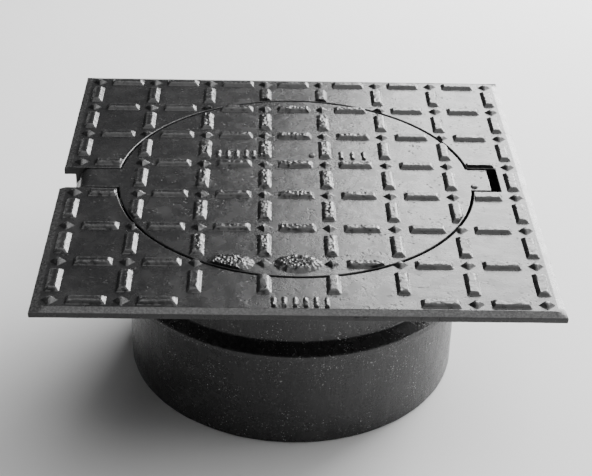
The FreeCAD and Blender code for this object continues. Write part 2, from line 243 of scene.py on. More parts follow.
def arc(centre: Pair, radius: float, start: float, end: float, steps: int) -> list[Pair]:
    """Points along an arc.

    Args:
        centre: its centre.
        radius: its radius.
        start: first angle in degrees.
        end: last angle in degrees.
        steps: number of pieces.

    Returns:
        The points, both ends included.
    """
    turns = [math.radians(start + (end - start) * i / steps) for i in range(steps + 1)]
    return [(centre[0] + radius * math.cos(t), centre[1] + radius * math.sin(t)) for t in turns]


def soften(points: Sequence[Pair], radius: float, spacing: float, closed: bool) -> list[Pair]:
    """Round the corners of a profile and divide its long runs.

    Args:
        points: corners of the profile.
        radius: how far from each corner the rounding starts, at most a third of a run.
        spacing: longest run left undivided.
        closed: whether the last point joins the first.

    Returns:
        The softened profile.
    """
    count = len(points)
    path = []
    for i, (x, y) in enumerate(points):
        if not closed and i in (0, count - 1):
            path.append((x, y))
            continue
        ends = []
        for other in (points[i - 1], points[(i + 1) % count]):
            run = math.dist((x, y), other)
            share = min(radius, run / 3) / run
            ends.append((x + (other[0] - x) * share, y + (other[1] - y) * share))
        (x0, y0), (x1, y1) = ends
        path += [(x0, y0), ((x0 + 2 * x + x1) / 4, (y0 + 2 * y + y1) / 4), (x1, y1)]
    divided = []
    for i, start in enumerate(path):
        if i == len(path) - 1 and not closed:
            divided.append(start)
            break
        end = path[(i + 1) % len(path)]
        parts = max(1, round(math.dist(start, end) / spacing))
        divided += [(start[0] + (end[0] - start[0]) * k / parts, start[1] + (end[1] - start[1]) * k / parts)
                    for k in range(parts)]
    return divided


def add_turned(
    shell: Shell,
    turns: Sequence[float],
    profile_at: Callable[[float], Sequence[Pair]],
    closed: bool,
    ripple: float,
) -> None:
    """Add a solid turned about Z, whose profile may change with the angle.

    Args:
        shell: casting that the solid joins.
        turns: angles of its columns in radians, rising through one turn.
        profile_at: gives the (radius, level) points at an angle, always the same number.
        closed: whether the profile is a loop; if not, both ends are capped flat.
        ripple: how far the sand mould's unevenness moves the surface, in millimetres.
    """
    points, wear, faces = [], [], []
    columns = [list(profile_at(t)) for t in turns]
    size = len(columns[0])
    for turn, profile in zip(turns, columns):
        for radius, level in profile:
            x, y = radius * math.cos(turn), radius * math.sin(turn)
            broad = noise.noise((x / 17, y / 17, level / 23))
            uneven = broad + 0.5 * noise.noise((x / 5, y / 5, level / 6))
            radius += ripple * uneven
            points.append((radius * math.cos(turn), radius * math.sin(turn), level))
            wear.append(0.1)
    around = len(turns)
    rows = size if closed else size - 1
    for i in range(around):
        j = (i + 1) % around
        for k in range(rows):
            m = (k + 1) % size
            faces.append((i * size + k, j * size + k, j * size + m, i * size + m))
    if not closed:
        faces.append(tuple(i * size for i in reversed(range(around))))
        faces.append(tuple(i * size + size - 1 for i in range(around)))
    shell.add(points, faces, wear)


# ------------------------------------------------------------------ tread

class Raised(Enum):
    """Kinds of raised work on the castings."""

    BAR_X = "bar along X"
    BAR_Y = "bar along Y"
    DIAMOND = "diamond"
    SWOLLEN = "bar swollen by a broken mould"
    STROKE = "plain upright stroke"
    PIP = "round pip"


@dataclass(frozen=True)
class RaisedForm:
    """Footprint and height of one kind of raised work, in millimetres."""

    half_x: float
    half_y: float
    height: float
    slope: float = 2.1
    uneven: float = 0.16


FORMS: dict[Raised, RaisedForm] = {
    Raised.BAR_X: RaisedForm(15.6, 5.9, 3.0, slope=3.6),
    Raised.BAR_Y: RaisedForm(5.9, 15.6, 3.0, slope=3.6),
    Raised.DIAMOND: RaisedForm(7.0, 6.6, 3.0, slope=3.9),
    Raised.SWOLLEN: RaisedForm(20.0, 14.0, 3.0, slope=6.5, uneven=0.55),
    Raised.STROKE: RaisedForm(2.1, 6.4, 2.2, slope=1.5, uneven=0.3),
    Raised.PIP: RaisedForm(3.4, 3.4, 1.8, slope=1.4, uneven=0.2),
}


def inside_by(kind: Raised, form: RaisedForm, x: float, y: float) -> float:
    """Distance from a point to the foot of a raised piece, positive inside it."""
    if kind is Raised.DIAMOND:
        return (form.half_x - abs(x) - abs(y)) * math.sqrt(0.5)
    if kind is Raised.PIP:
        return form.half_x - math.hypot(x, y)
    if kind is Raised.SWOLLEN:
        return (1 - math.hypot(x / form.half_x, y / form.half_y)) * form.half_y
    return min(form.half_x - abs(x), form.half_y - abs(y))


@dataclass
class TreadMaker:
    """Raises tread pieces as fine closed patches with soft feet, soft tops and uneven edges."""

    top: float
    hold: Callable[[float, float], tuple[float, float, bool]]
    spacing: float = 0.9
    sunk: float = 0.35
    tallest: float = 173.3
    gritty: float = 0.95
    broken: float = 2.7

    def add(
        self, shell: Shell, kind: Raised, x: float, y: float, rough: float = 1.0, trim: float = 0.0
    ) -> None:
        """Add one raised piece.

        Args:
            shell: casting that the piece joins.
            kind: its kind.
            x: place of its middle.
            y: place of its middle.
            rough: how much more uneven than usual it came out of the sand.
            trim: how much shorter its +X end is.
        """
        form = FORMS[kind]
        reach_x, reach_y = form.half_x + 1.0, form.half_y + 1.0
        across, along = max(4, round(2 * reach_x / self.spacing)), max(4, round(2 * reach_y / self.spacing))
        points, wear, inside = [], [], []
        for j in range(along + 1):
            for i in range(across + 1):
                u, v = reach_x * (2 * i / across - 1), reach_y * (2 * j / along - 1)
                px, py, kept = self.hold(x + u, y + v)
                shifted = u + max(0.0, u) * trim / form.half_x
                lift, rubbed = self.rise(kind, form, shifted, v, (x + u, y + v), rough)
                if not kept:
                    lift, rubbed = -self.sunk, 0.0
                points.append((px, py, min(self.top + lift, self.tallest)))
                wear.append(rubbed)
                inside.append(kept)
        wide = across + 1
        faces, used = [], set()
        for j in range(along):
            for i in range(across):
                quad = (j * wide + i, j * wide + i + 1, (j + 1) * wide + i + 1, (j + 1) * wide + i)
                if any(inside[q] for q in quad):
                    faces.append(quad)
                    used.update(quad)
        self.close(shell, points, faces, wear, used)

    def rise(
        self, kind: Raised, form: RaisedForm, u: float, v: float, at: Pair, rough: float
    ) -> tuple[float, float]:
        """Height and wear of a raised piece at one point.

        Args:
            kind: its kind.
            form: its footprint.
            u: distance from its middle along X.
            v: distance from its middle along Y.
            at: place on the casting, which seeds the unevenness.
            rough: how much more uneven than usual the piece is.

        Returns:
            Height above the casting's top, and wear from 0 to 1.
        """
        px, py = at
        ragged = noise.noise((px / 4.1, py / 4.1, 2.7)) + 0.6 * noise.noise((px / 1.9, py / 1.9, 8.1))
        depth = inside_by(kind, form, u, v) + form.uneven * rough * ragged * 1.6
        share = min(1.0, max(0.0, (depth + 0.3) / form.slope))
        soft = share * share * (3 - 2 * share) * 0.45 + share * 0.55
        body = noise.noise((px / 9.0, py / 9.0, 5.0)) + 0.7 * noise.noise((px / 2.6, py / 2.6, 1.0))
        grit = self.broken if kind is Raised.SWOLLEN else self.gritty * rough
        body += grit * noise.noise((px / 1.4, py / 1.4, 4.4))
        lift = -self.sunk + (form.height + self.sunk) * soft + share * form.uneven * rough * body
        lift -= share * 0.2
        rubbed = math.exp(-((depth - form.slope * 0.95) / 0.8) ** 2) * share
        return lift, rubbed

    def close(self, shell: Shell, points: list[Triple], faces: list[tuple[int, ...]], wear: list[float],
              used: set[int]) -> None:
        """Give a patch a flat floor under the casting's surface, so that it is a closed solid.

        Args:
            shell: casting that the patch joins.
            points: its upper vertices.
            faces: its upper faces.
            wear: wear of each vertex.
            used: vertices that some face uses.
        """
        order = {old: new for new, old in enumerate(sorted(used))}
        count = len(order)
        upper = [points[i] for i in order]
        lower = [(px, py, self.top - 3 * self.sunk) for px, py, _ in upper]
        tops = [tuple(order[i] for i in face) for face in faces]
        sides = {(a, b) for face in tops for a, b in zip(face, face[1:] + face[:1])}
        rim = sorted(edge for edge in sides if (edge[1], edge[0]) not in sides)
        walls = [(b, a, a + count, b + count) for a, b in rim]
        floors = [tuple(i + count for i in reversed(face)) for face in tops]
        kept = [wear[i] for i in order]
        shell.add(upper + lower, tops + walls + floors, kept + [0.0] * count)


# ------------------------------------------------------------------ castings

def radial_place(turn: float, thickness: float) -> Callable[[float, float, float], Triple]:
    """Placement of an upright slab that runs outwards from the axis.

    Args:
        turn: its direction in degrees.
        thickness: its thickness in millimetres.

    Returns:
        A function from (radius, level, depth) to a point of the casting.
    """
    cos, sin = math.cos(math.radians(turn)), math.sin(math.radians(turn))

    def place(radius: float, level: float, depth: float) -> Triple:
        """Turn a point about the axis."""
        side = depth - thickness / 2
        return radius * cos - side * sin, radius * sin + side * cos, level

    return place


def rectangle(x_low: float, x_high: float, y_low: float, y_high: float) -> list[Pair]:
    """Corners of a rectangle, anticlockwise."""
    return [(x_low, y_low), (x_high, y_low), (x_high, y_high), (x_low, y_high)]


def add_block(shell: Shell, low: Triple, high: Triple, edge: float) -> None:
    """Add a box with rounded upper and lower edges."""
    form = rounded_form(high[2] - low[2], edge, edge)
    add_slab(shell, rectangle(low[0], high[0], low[1], high[1]), form, level_place(high[2]))


def column_turns(count: int, breaks: Sequence[float]) -> list[float]:
    """Angles of a turned solid's columns, with a close pair at each sudden change.

    Args:
        count: number of even columns.
        breaks: angles in degrees at which the profile changes.

    Returns:
        Rising angles in radians.
    """
    close = 0.04
    even = [360 * i / count - 180 for i in range(count)]
    kept = [a for a in even if all(abs(a - b) > 3 * close for b in breaks)]
    pairs = [b + s * close for b in breaks for s in (-1, 1)]
    return [math.radians(a) for a in sorted(kept + pairs)]


@dataclass(frozen=True)
class CoverSizes:
    """Sizes that the frame and the lid share, in millimetres and degrees."""

    top: float = 170.0
    side: float = 400.0
    plate: float = 7.0
    opening: float = 152.4
    drum: float = 158.0
    seat: float = 147.0
    ledge: float = 140.0
    skirt: float = 145.0
    bore: float = 140.0
    lid: float = 150.4
    pitch: float = 53.1
    hinge_x: float = -180.0
    hinge_z: float = 152.0
    pin_bore: float = 5.08
    notch: float = 17.0
    slot_end: float = 175.0
    slot_low: float = -16.0
    slot_high: float = 24.5
    pocket_floor: float = 148.0


Row = tuple[Raised, tuple[float, ...], tuple[float, ...]]


@dataclass
class FrameCasting:
    """Square treaded plate with the drum, the seat, the skirt and the hinge cheeks, cast in one."""

    sizes: CoverSizes = field(default_factory=CoverSizes)
    columns: int = 264
    grid: float = 1.08
    pocket_wall: float = 5.0
    gusset_turns: tuple[float, ...] = (30, 60, 120, 150, 210, 240, 300, 330)

    def build(self) -> bpy.types.Object:
        """Make the whole casting as one piece."""
        shell = Shell()
        self.add_plate(shell)
        self.add_drum(shell)
        self.add_supports(shell)
        self.add_pocket(shell)
        self.add_cheeks(shell)
        self.add_tread(shell)
        self.add_marks(shell)
        return shell.to_object("frame_casting")

    def plate_outline(self) -> tuple[list[Pair], list[EdgeForm]]:
        """Outline of the plate, anticlockwise, and the form of the edge that leaves each corner."""
        s = self.sizes
        half = s.side / 2
        border = EdgeForm((
            (6.6, 0.0), (5.7, 0.1), (0.55, 1.82), (0.12, 2.05),
            (0.0, 2.6), (0.15, 5.7), (0.45, 6.6), (1.2, 7.0),
        ))
        inner = rounded_form(s.plate, 0.9, 0.15)
        mouth = half - 8

        start = math.degrees(math.atan2(s.notch, -math.sqrt(s.opening ** 2 - s.notch ** 2)))
        slot_top = math.degrees(math.asin(s.slot_high / s.opening))
        slot_foot = math.degrees(math.asin(s.slot_low / s.opening))
        step = 120
        upper = arc((0, 0), s.opening, start, slot_top, step)
        lower = arc((0, 0), s.opening, slot_foot, -start, step)
        corners = [
            (-half, -s.notch), (-half, -half), (half, -half),
            (half, half), (-half, half), (-half, s.notch),
        ]
        outer = self.ragged(corners)
        outline = outer + [corners[-1], (-mouth, s.notch)] + upper
        outline += [(s.slot_end, s.slot_high), (s.slot_end, s.slot_low)] + lower + [(-mouth, -s.notch)]
        forms = [border] * len(outer) + [inner] * (len(outline) - len(outer))
        return outline, forms

    def ragged(self, corners: Sequence[Pair]) -> list[Pair]:
        """Divide the outer edges and let them wander inwards a little, as a sand-cast edge does.

        Args:
            corners: the ends of the edges, in order.

        Returns:
            The divided edges without the last corner.
        """
        spacing, wander, plain = 4.0, 0.34, 10.0
        divided = []
        for start, end in zip(corners, corners[1:]):
            parts = round(math.dist(start, end) / spacing)
            along_x = abs(end[0] - start[0]) > abs(end[1] - start[1])
            divided.append(start)
            for k in range(1, parts):
                x = start[0] + (end[0] - start[0]) * k / parts
                y = start[1] + (end[1] - start[1]) * k / parts
                if min(math.dist((x, y), start), math.dist((x, y), end)) < plain:
                    continue
                inwards = 1 - wander / self.sizes.side * (1 + noise.noise((x / 7, y / 7, 3.0)))
                divided.append((x, y * inwards) if along_x else (x * inwards, y))
        return divided

    def add_plate(self, shell: Shell) -> None:
        """Add the square plate with its bevelled border, its round opening, notch and slot."""
        outline, forms = self.plate_outline()
        add_slab(shell, outline, forms, level_place(self.sizes.top))

    def add_drum(self, shell: Shell) -> None:
        """Add the drum, the seat with its groove, the skirt and the anchor ring as one turned wall."""
        s = self.sizes
        wall = soften([
            (s.bore, 0), (s.skirt, 0), (s.skirt, 88), (156, 91), (156, 97), (s.skirt, 104),
            (s.skirt, s.ledge),
            (s.drum, s.ledge), (s.drum, 165.5), (153.6, 165.5), (153.6, 163.6), (s.opening, 162.9),
            (s.opening, s.seat), (145.5, s.seat), (145.5, 145), (141, 145), (141, s.seat), (s.bore, s.seat),
        ], 1.3, 9.0, True)
        notch = math.degrees(math.asin(s.notch / s.opening))
        low = math.degrees(math.asin(s.slot_low / s.opening))
        high = math.degrees(math.asin(s.slot_high / s.opening))
        under_tongue, no_cap = 156.5, 1e3

        def profile_at(turn: float) -> list[Pair]:
            """Cut the wall down under the tongue and at the pocket."""
            degrees = math.degrees(turn)
            cap = no_cap
            if abs(degrees) > 180 - notch:
                cap = under_tongue
            if low < degrees < high:
                cap = s.pocket_floor
            return [(r, min(z, cap)) for r, z in wall]

        turns = column_turns(self.columns, (notch - 180, low, high, 180 - notch))
        add_turned(shell, turns, profile_at, True, 0.26)

    def add_supports(self, shell: Shell) -> None:
        """Add the gussets between the drum and the plate."""
        s = self.sizes
        under = s.top - s.plate
        thick = 7.0
        for turn in self.gusset_turns:
            outline = [
                (s.drum - 3, under - 20), (215, under - 2),
                (215, under + 1), (s.drum - 3, under + 1),
            ]
            add_slab(shell, outline, rounded_form(thick, 1.2, 1.2), radial_place(turn, thick))

    def add_pocket(self, shell: Shell) -> None:
        """Add the pocket under the lifting tab: a floor and three walls below the plate."""
        s = self.sizes
        w = self.pocket_wall
        top = s.top - s.plate + 1
        floor = s.pocket_floor - w
        x_end = s.slot_end + w
        y_low, y_high = s.slot_low - w, s.slot_high + w
        add_block(shell, (153.2, y_low, floor), (x_end, y_high, s.pocket_floor), 0.8)
        add_block(shell, (153.6, y_low, floor + 1), (x_end, s.slot_low, top), 0.1)
        add_block(shell, (153.6, s.slot_high, floor + 1), (x_end, y_high, top), 0.1)
        add_block(shell, (s.slot_end, y_low + 0.3, floor + 1), (x_end - 0.1, y_high - 0.3, top), 0.1)

    def add_cheeks(self, shell: Shell) -> None:
        """Add the two bored cheeks that hold the hinge pin."""
        s = self.sizes
        thick = 8.0
        top = s.top - s.plate + 1
        outline = [(-186.5, 142), (-155, 142), (-155, top), (-190.5, top), (-190.5, 146)]
        hole = arc((s.hinge_x, s.hinge_z), s.pin_bore, 0, 345, 23)
        for front in (-s.notch - thick, s.notch):
            add_slab(shell, outline, rounded_form(thick, 0.8, 0.8), upright_place(front), hole)

    def hold(self, x: float, y: float) -> tuple[float, float, bool]:
        """Keep tread out of the round opening and the slot; the flag says whether the point was clear."""
        s = self.sizes
        reach = math.hypot(x, y)
        limit = s.opening + 0.9
        edge = 0.8
        if reach < limit:
            return x * limit / reach, y * limit / reach, False
        if 0 < x < s.slot_end + edge and s.slot_low - edge < y < s.slot_high + edge:
            aside = s.slot_high + edge if y > 0 else s.slot_low - edge
            return x, aside, False
        return x, y, True

    def add_tread(self, shell: Shell) -> None:
        """Raise the grid's bars and diamonds, with none in the field at the middle of the front."""
        p = self.sizes.pitch
        maker = TreadMaker(self.sizes.top, self.hold, self.grid)
        side_rows = (-2.5, -1.5, -0.5, 0.5, 1.5, 2.5)
        rows: list[Row] = [
            (Raised.BAR_X, (-3, -2, -1, 0, 1, 2, 3), (3.5,)),
            (Raised.BAR_X, (-3, -2, 2, 3), (-3.5,)),
            (Raised.BAR_X, (-2, 2), (-2.5, 2.5)),
            (Raised.BAR_X, (3,), side_rows),
            (Raised.BAR_X, (-3,), (-2.5, -1.5, 1.5, 2.5)),
            (Raised.BAR_Y, (-3.5,), (-3, -2, -1, 1, 2, 3)),
            (Raised.BAR_Y, (3.5,), (-3, -2, -1, 0, 1, 2, 3)),
            (Raised.BAR_Y, (-2.5, 2.5), (-3, -2, 2, 3)),
            (Raised.BAR_Y, (-1.5, -0.5, 0.5, 1.5), (-3, 3)),
            (Raised.DIAMOND, (-3.5, -2.5, -1.5, -0.5, 0.5, 1.5, 2.5, 3.5), (3.5,)),
            (Raised.DIAMOND, (-3.5, -2.5, 2.5, 3.5), (-3.5,)),
            (Raised.DIAMOND, (-3.5, 3.5), side_rows),
            (Raised.DIAMOND, (-2.5, 2.5), (-2.5, -1.5, 1.5, 2.5)),
            (Raised.DIAMOND, (-1.5, 1.5), (-2.5, 2.5)),
        ]
        for kind, across, along in rows:
            for i in across:
                for j in along:
                    maker.add(shell, kind, i * p, j * p)
        for j in (-0.5, 0.5):
            maker.add(shell, Raised.BAR_X, -3 * p, j * p, 1.6, trim=11.0)

    def add_marks(self, shell: Shell) -> None:
        """Add plain strokes in the front field and the gate stubs on the front edge."""
        maker = TreadMaker(self.sizes.top, self.hold)
        for x in (-19.0, -11.0, -3.0, 5.0, 13.0, 21.0):
            maker.add(shell, Raised.STROKE, x, -3.5 * self.sizes.pitch)
        front = -self.sizes.side / 2
        for x, width, proud in ((41.0, 3.2, 0.7), (47.5, 2.4, 0.6), (90.0, 2.0, 0.35), (104.0, 2.2, 0.35)):
            low, high = (x, front - proud, 163.9), (x + width, front + 1.0, 166.9)
            add_block(shell, low, high, 0.5)


@dataclass
class LidCasting:
    """Round treaded disc with rim, hub and ribs, the hinge tongue and the lifting tab, cast in one."""

    sizes: CoverSizes = field(default_factory=CoverSizes)
    columns: int = 300
    tongue: float = 15.5
    tab_low: float = -14.0
    tab_high: float = 22.0
    tab_end: float = 167.0
    sunk: float = 0.01

    def build(self) -> bpy.types.Object:
        """Make the whole casting as one piece."""
        shell = Shell()
        self.add_disc(shell)
        self.add_ribs(shell)
        self.add_tongue(shell)
        self.add_tab(shell)
        self.add_tread(shell)
        self.add_marks(shell)
        return shell.to_object("lid_casting")

    def add_disc(self, shell: Shell) -> None:
        """Add the disc with its hub and rim. Its edge is left square where the tongue and the tab join."""
        s = self.sizes
        under = s.top - 9
        lower = soften([
            (18, 150), (22, 150), (22, under), (134, under), (134, 150), (146.5, 150), (146.5, 158),
            (s.lid, s.top - 2.5), (s.lid, s.top - 1.0),
        ], 1.2, 20.0, False)
        tongue = math.degrees(math.asin(self.tongue / s.lid))
        low = math.degrees(math.asin(self.tab_low / s.lid))
        high = math.degrees(math.asin(self.tab_high / s.lid))

        def profile_at(turn: float) -> list[Pair]:
            """Round the rim, and leave it square where the tongue and the tab join it."""
            degrees = math.degrees(turn)
            joined = abs(degrees) > 180 - tongue or low < degrees < high
            edge = 0.02 if joined else 0.85
            around = arc((s.lid - edge, s.top - edge), edge, 0, 90, 3)
            return lower + around

        turns = column_turns(self.columns, (tongue - 180, low, high, 180 - tongue))
        add_turned(shell, turns, profile_at, False, 0.2)

    def add_ribs(self, shell: Shell) -> None:
        """Add the four ribs that cross under the disc."""
        thick = 8.0
        for turn in (0, 45, 90, 135):
            outline = rectangle(-136, 136, 150.3, 162)
            add_slab(shell, outline, rounded_form(thick, 1.4, 1.4), radial_place(turn, thick))

    def tongue_outline(self) -> list[Pair]:
        """Side view of the tongue, anticlockwise: slab, rounded shoulder, knuckle and heel."""
        s = self.sizes
        top, low = s.top - self.sunk, 158.0
        shoulder, shoulder_radius = (-175.5, s.top - 11 - self.sunk), 11.0
        knuckle, knuckle_radius = (s.hinge_x, s.hinge_z), 10.0
        heel_turn, heel_reach, heel_radius = 235.8, 18.0, 4.7
        heel = (
            knuckle[0] + heel_reach * math.cos(math.radians(heel_turn)),
            knuckle[1] + heel_reach * math.sin(math.radians(heel_turn)),
        )
        spread = math.degrees(math.asin(heel_radius / knuckle_radius))
        meets = ((176.8, 130.4), (344.1, -62.3))
        outline = [(-130.0, top)]
        outline += arc(shoulder, shoulder_radius, 90, meets[0][0], 12)
        outline += arc(knuckle, knuckle_radius, meets[0][1] + 3, heel_turn - spread, 9)
        outline += arc(heel, heel_radius, heel_turn - 90, heel_turn + 90, 12)
        outline += arc(knuckle, knuckle_radius, heel_turn + spread, meets[1][0], 9)
        outline += arc(shoulder, shoulder_radius, meets[1][1] + 3, -5.2, 6)
        return outline + [(-130.0, low)]

    def add_tongue(self, shell: Shell) -> None:
        """Add the tongue with the bore for the hinge pin."""
        s = self.sizes
        hole = arc((s.hinge_x, s.hinge_z), s.pin_bore, 0, 345, 23)
        form = rounded_form(2 * self.tongue, 0.8, 0.8)
        add_slab(shell, self.tongue_outline(), form, upright_place(-self.tongue), hole)

    def add_tab(self, shell: Shell) -> None:
        """Add the lifting tab."""
        high = (self.tab_end, self.tab_high, self.sizes.top - self.sunk)
        add_block(shell, (138.0, self.tab_low, 160.0), high, 0.8)

    def hold(self, x: float, y: float) -> tuple[float, float, bool]:
        """Keep tread on the disc; the flag says whether the point was clear of its edge."""
        reach = math.hypot(x, y)
        limit = self.sizes.lid - 0.9
        if reach > limit:
            return x * limit / reach, y * limit / reach, False
        return x, y, True

    def add_tread(self, shell: Shell) -> None:
        """Raise the lid's bars and diamonds, rougher along the columns where the sand gave way."""
        p = self.sizes.pitch
        maker = TreadMaker(self.sizes.top, self.hold)
        inner = (-1.5, -0.5, 0.5, 1.5)
        rows: list[Row] = [
            (Raised.BAR_X, (-2, -1, 0, 1, 2), inner),
            (Raised.BAR_X, (-1, 0, 1), (2.5,)),
            (Raised.BAR_X, (1,), (-2.5,)),
            (Raised.SWOLLEN, (-1, 0), (-2.5,)),
            (Raised.BAR_Y, inner, (-2, -1, 0, 1, 2)),
            (Raised.BAR_Y, (-2.5, 2.5), (-1, 0, 1)),
            (Raised.DIAMOND, inner, inner),
            (Raised.DIAMOND, (-0.5, 0.5), (-2.5, 2.5)),
            (Raised.DIAMOND, (-2.5, 2.5), (-0.5, 0.5)),
        ]
        worst = {-1.5: 2.2, -1: 1.5, -0.5: 2.4, 0: 2.5, 0.5: 2.1, 1: 1.8}
        for kind, across, along in rows:
            for i in across:
                for j in along:
                    rough = 1.0 if kind is Raised.SWOLLEN else worst.get(i, 1.0)
                    maker.add(shell, kind, i * p, j * p, rough)

    def add_marks(self, shell: Shell) -> None:
        """Add two groups of plain strokes with a pip between them, and a pip on the tab."""
        maker = TreadMaker(self.sizes.top, self.hold)
        for x in (-67.0, -59.0, -51.0, -43.0, -36.0, 41.0, 51.0, 61.0):
            maker.add(shell, Raised.STROKE, x, 43.5)
        maker.add(shell, Raised.PIP, 15.0, 43.5)
        on_tab = TreadMaker(self.sizes.top, lambda x, y: (x, y, True))
        on_tab.add(shell, Raised.PIP, 153.0, -8.0)


# ------------------------------------------------------------------ shader groups

class Graph:
    """Thin helper over a node tree: adds nodes, sets sockets and links them."""

    def __init__(self, tree: bpy.types.NodeTree) -> None:
        """Start from an empty tree."""
        self.tree = tree
        tree.nodes.clear()

    def node(self, kind: str, **settings: object) -> bpy.types.Node:
        """Add a node and set its properties."""
        made = self.tree.nodes.new(kind)
        for name, value in settings.items():
            setattr(made, name, value)
        return made

    def feed(self, socket: bpy.types.NodeSocket, value: object) -> None:
        """Link an output to a socket, or set the socket's own value."""
        if isinstance(value, bpy.types.NodeSocket):
            self.tree.links.new(value, socket)
        else:
            socket.default_value = value

    def noise(
        self, vector: object, scale: float, detail: float = 3.0, rough: float = 0.55
    ) -> bpy.types.NodeSocket:
        """Noise from 0 to 1 at a scale, in repeats per metre."""
        made = self.node("ShaderNodeTexNoise")
        for name, value in (("Vector", vector), ("Scale", scale), ("Detail", detail), ("Roughness", rough)):
            self.feed(made.inputs[name], value)
        return made.outputs["Fac"]

    def ramp(
        self, value: object, low: float, high: float, out_low: float, out_high: float
    ) -> bpy.types.NodeSocket:
        """Carry a value smoothly from one range to another."""
        made = self.node("ShaderNodeMapRange", interpolation_type="SMOOTHSTEP")
        for name, item in (
            ("Value", value), ("From Min", low), ("From Max", high),
            ("To Min", out_low), ("To Max", out_high),
        ):
            self.feed(made.inputs[name], item)
        return made.outputs["Result"]

    def math(self, operation: str, first: object, second: object = 0.0) -> bpy.types.NodeSocket:
        """One arithmetic step."""
        made = self.node("ShaderNodeMath", operation=operation)
        self.feed(made.inputs[0], first)
        self.feed(made.inputs[1], second)
        return made.outputs[0]

    def mix(self, factor: object, first: object, second: object) -> bpy.types.NodeSocket:
        """Mix two colours."""
        made = self.node("ShaderNodeMix", data_type="RGBA")
        self.feed(made.inputs["Factor"], factor)
        self.feed(made.inputs["A"], first)
        self.feed(made.inputs["B"], second)
        return made.outputs["Result"]


def new_group(
    name: str, inputs: Sequence[tuple[str, str, object]], outputs: Sequence[tuple[str, str]]
) -> Graph:
    """Make an empty shader node group with its sockets.

    Args:
        name: its name.
        inputs: (name, socket type, default value) of each input.
        outputs: (name, socket type) of each output.

    Returns:
        A graph over the group's tree.
    """
    tree = bpy.data.node_groups.new(name, "ShaderNodeTree")
    for label, kind, value in inputs:
        socket = tree.interface.new_socket(label, in_out="INPUT", socket_type=kind)
        if value is not None:
            socket.default_value = value
    for label, kind in outputs:
        tree.interface.new_socket(label, in_out="OUTPUT", socket_type=kind)
    return Graph(tree)


def grain_group() -> bpy.types.NodeTree:
    """Sand grain of a casting: fine bumps, scattered pits and slow swells, as one height."""
    graph = new_group("casting_grain", (
        ("Vector", "NodeSocketVector", None),
        ("Grain", "NodeSocketFloat", 0.5),
        ("Pits", "NodeSocketFloat", 0.5),
        ("Swell", "NodeSocketFloat", 0.5),
    ), (("Height", "NodeSocketFloat"), ("Pit mask", "NodeSocketFloat")))
    given = graph.node("NodeGroupInput").outputs
    result = graph.node("NodeGroupOutput").inputs
    fine = graph.noise(given["Vector"], 1150.0, 2.0)
    coarse = graph.noise(given["Vector"], 420.0, 3.0)
    slow = graph.noise(given["Vector"], 38.0, 2.0)
    cells = graph.node("ShaderNodeTexVoronoi", feature="SMOOTH_F1")
    graph.feed(cells.inputs["Vector"], given["Vector"])
    graph.feed(cells.inputs["Scale"], 260.0)
    where = graph.ramp(graph.noise(given["Vector"], 60.0, 2.0), 0.52, 0.62, 0.0, 1.0)
    pit = graph.math("MULTIPLY", graph.ramp(cells.outputs["Distance"], 0.12, 0.3, 1.0, 0.0), where)
    sand = graph.math("ADD", fine, graph.math("MULTIPLY", coarse, 1.3))
    grain = graph.math("MULTIPLY", sand, given["Grain"])
    swell = graph.math("MULTIPLY", graph.math("MULTIPLY", slow, 6.0), given["Swell"])
    dent = graph.math("MULTIPLY", pit, given["Pits"])
    height = graph.math("SUBTRACT", graph.math("ADD", grain, swell), dent)
    graph.feed(result["Height"], height)
    graph.feed(result["Pit mask"], dent)
    return graph.tree


def scuff_group() -> bpy.types.NodeTree:
    """Broken-up mask of the edges where paint is rubbed thin, from the mesh's stored wear."""
    graph = new_group("edge_scuff", (
        ("Vector", "NodeSocketVector", None),
        ("Amount", "NodeSocketFloat", 0.5),
    ), (("Mask", "NodeSocketFloat"),))
    given = graph.node("NodeGroupInput").outputs
    result = graph.node("NodeGroupOutput").inputs
    stored = graph.node("ShaderNodeAttribute", attribute_name="wear", attribute_type="GEOMETRY")
    broken = graph.ramp(graph.noise(given["Vector"], 520.0, 4.0), 0.4, 0.62, 0.25, 1.0)
    mask = graph.math("MULTIPLY", stored.outputs["Fac"], broken)
    graph.feed(result["Mask"], graph.math("MULTIPLY", mask, given["Amount"]))
    return graph.tree


def streak_and_glint_group() -> bpy.types.NodeTree:
    """Upright streak lines and speckle of a dipped skirt, which fade out towards the treaded top, and
    painted glints: bright flecks that stand in for highlights off the rough paint.
    """
    graph = new_group("dip_streaks_and_painted_glints", (
        ("Vector", "NodeSocketVector", None),
        ("Top", "NodeSocketFloat", 0.16),
    ), (("Mask", "NodeSocketFloat"), ("Painted glints", "NodeSocketFloat")))
    given = graph.node("NodeGroupInput").outputs
    result = graph.node("NodeGroupOutput").inputs
    stretch = graph.node("ShaderNodeMapping")
    graph.feed(stretch.inputs["Vector"], given["Vector"])
    graph.feed(stretch.inputs["Scale"], (1.0, 1.0, 0.12))
    lines = graph.ramp(graph.noise(stretch.outputs["Vector"], 240.0, 5.0, 0.7), 0.42, 0.72, 0.0, 1.0)
    speckle = graph.ramp(graph.noise(given["Vector"], 700.0, 2.0), 0.5, 0.7, 0.0, 0.8)
    parts = graph.node("ShaderNodeSeparateXYZ")
    graph.feed(parts.inputs[0], given["Vector"])
    below = graph.math("LESS_THAN", parts.outputs["Z"], given["Top"])
    both = graph.math("MAXIMUM", lines, speckle)
    graph.feed(result["Mask"], graph.math("MULTIPLY", both, below))
    # painted glints: sparse bright flecks low on the casting that stand in for highlights off the rough
    # paint
    painted_glints = graph.ramp(graph.noise(given["Vector"], 820.0, 1.0), 0.67, 0.73, 0.0, 1.0)
    glint_patches = graph.ramp(graph.noise(given["Vector"], 45.0, 3.0), 0.42, 0.6, 0.1, 1.0)
    graph.feed(result["Painted glints"], graph.math("MULTIPLY", graph.math("MULTIPLY", painted_glints, glint_patches), below))
    return graph.tree


# ------------------------------------------------------------------ finishes

